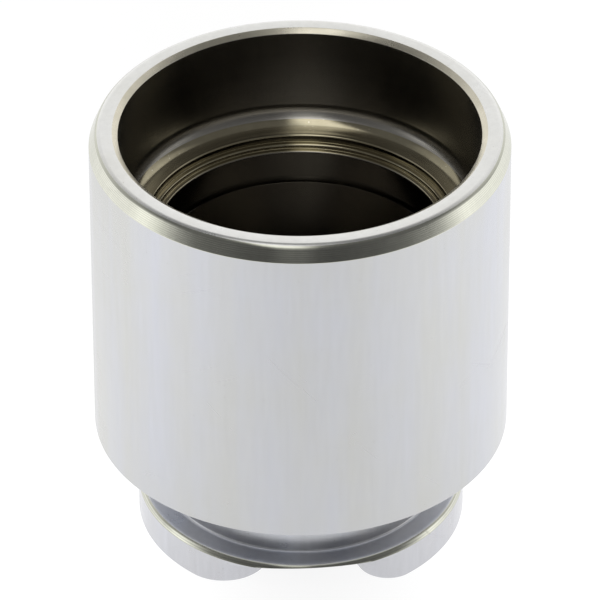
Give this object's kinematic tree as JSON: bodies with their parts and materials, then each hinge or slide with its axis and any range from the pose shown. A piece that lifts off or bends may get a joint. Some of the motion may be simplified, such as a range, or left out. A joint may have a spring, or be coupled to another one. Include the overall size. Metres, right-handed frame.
{
  "type": "brake caliper piston",
  "caption": "Steel brake caliper piston: plated cup with a seal lead-in, stepped bore, boot groove and a pad flange notched for winding back.",
  "frame": {"origin": "centre of the pad face at the closed end, which is the bottom centre of the whole piece", "axes": "+Z along the piston's axis from the pad face up to the open rim; the two wind-back notches open towards -Y and +Y"},
  "size_m": [0.043, 0.043, 0.047],
  "materials": {
    "plated_steel": "satin hard chrome outside, dark machined steel in the bores"
  },
  "bodies": {
    "root": {"piston": "plated_steel"}
  },
  "joints": []
}
